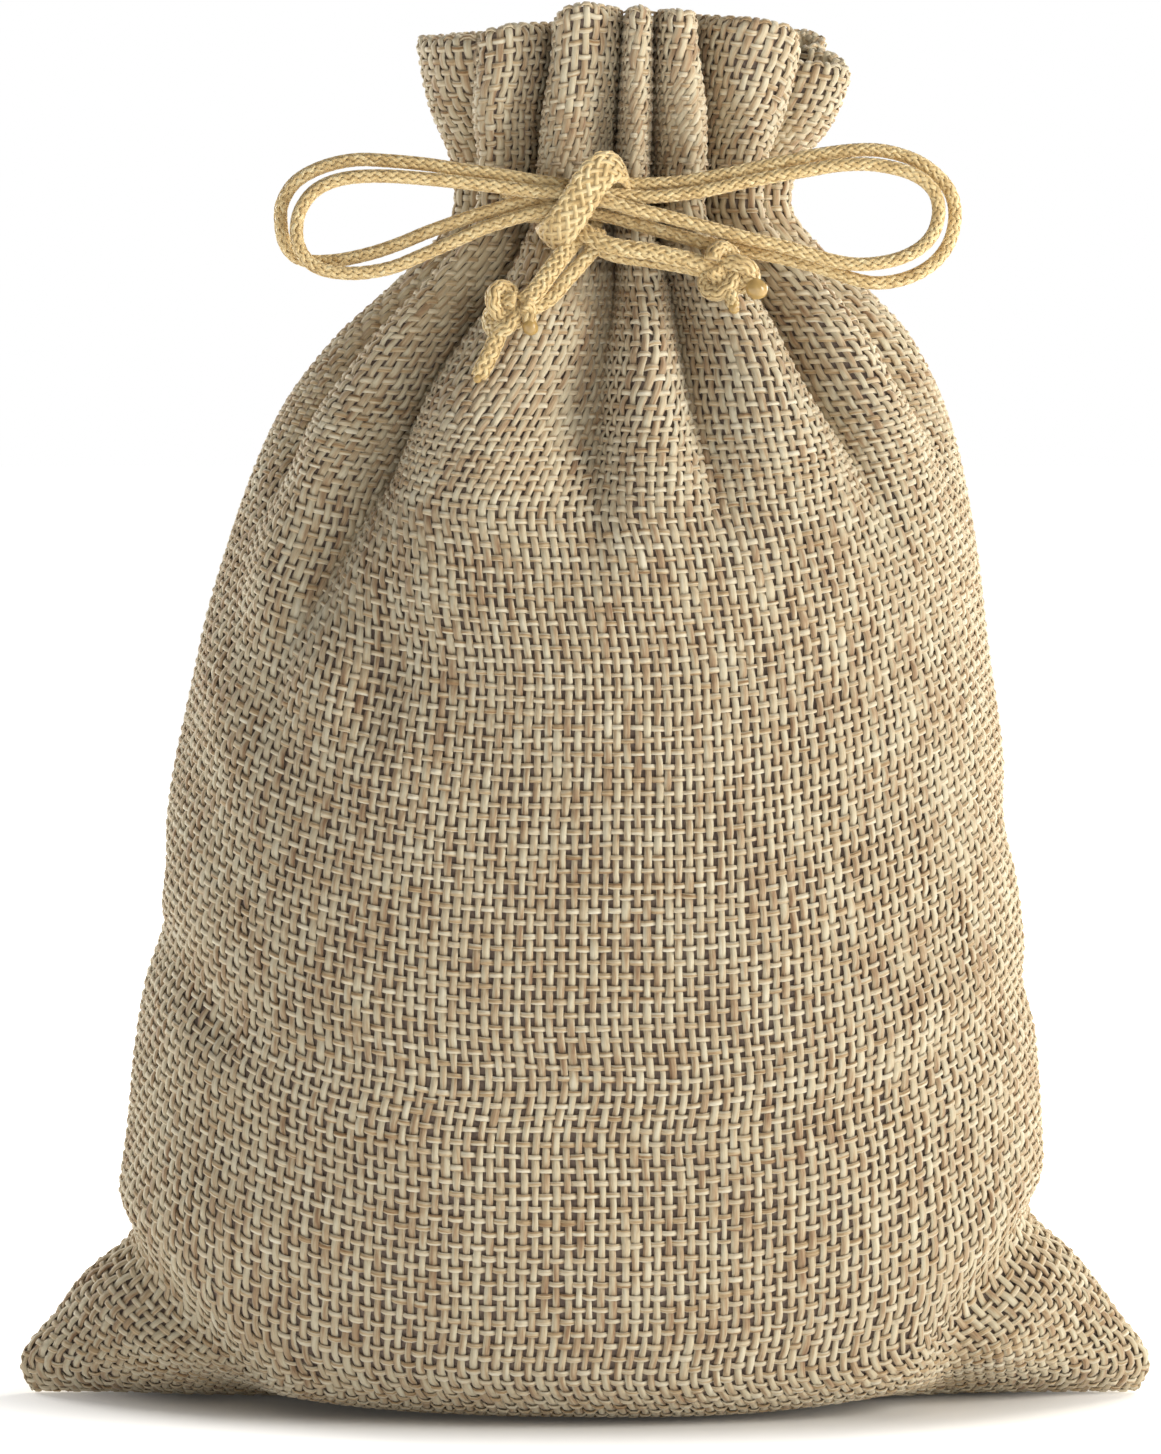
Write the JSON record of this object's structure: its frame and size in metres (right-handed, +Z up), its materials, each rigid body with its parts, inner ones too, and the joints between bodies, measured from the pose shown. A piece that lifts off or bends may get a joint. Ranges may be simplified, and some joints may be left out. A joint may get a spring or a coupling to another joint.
{
  "type": "drawstring gift pouch",
  "caption": "Woven cloth gift pouch with a gathered neck, a ruffled mouth and two drawstrings tied in a bow at the front.",
  "frame": {"origin": "middle of the base, on the surface that the pouch stands on", "axes": "+Z up along the pouch's height, -Y towards the front where the bow is tied, +X to the right seen from the front"},
  "size_m": [0.13, 0.0622, 0.155],
  "materials": {
    "cloth": "coarse plain weave, matt",
    "thread": "fine sewing thread",
    "cord": "braided cord with a satin sheen",
    "sealed_end": "heat-sealed cord end"
  },
  "bodies": {
    "pouch": {"front_panel": "cloth", "back_panel": "cloth", "left_seam_thread": "thread", "right_seam_thread": "thread", "bottom_seam_thread": "thread", "front_casing_stitch_lower": "thread", "back_casing_stitch_lower": "thread", "front_casing_stitch_upper": "thread", "back_casing_stitch_upper": "thread", "left_drawstring": "cord", "right_drawstring": "cord", "bow_knot": "cord"},
    "left_loop": {"left_loop_outer_strand": "cord", "left_loop_inner_strand": "cord"},
    "right_loop": {"right_loop_outer_strand": "cord", "right_loop_inner_strand": "cord"},
    "left_tail": {"left_tail_front_strand": "cord", "left_tail_rear_strand": "cord", "left_end_knot": "cord", "left_cord_end_long": "sealed_end", "left_cord_end_short": "sealed_end"},
    "right_tail": {"right_tail_front_strand": "cord", "right_tail_rear_strand": "cord", "right_end_knot": "cord", "right_cord_end_long": "sealed_end", "right_cord_end_short": "sealed_end"}
  },
  "joints": [
    {"name": "left_loop_lift", "type": "hinge", "parent": "pouch", "child": "left_loop", "pos_m": [-0.0006, -0.0174, 0.136], "axis": [0, 1, 0], "range_deg": [0, 22]},
    {"name": "right_loop_lift", "type": "hinge", "parent": "pouch", "child": "right_loop", "pos_m": [-0.0006, -0.0174, 0.136], "axis": [0, -1, 0], "range_deg": [0, 22]},
    {"name": "left_tail_lift", "type": "hinge", "parent": "pouch", "child": "left_tail", "pos_m": [-0.0006, -0.0174, 0.136], "axis": [-1, 0, 0], "range_deg": [0, 40]},
    {"name": "right_tail_swing", "type": "hinge", "parent": "pouch", "child": "right_tail", "pos_m": [-0.0006, -0.0174, 0.136], "axis": [0, 0, -1], "range_deg": [0, 45]}
  ]
}
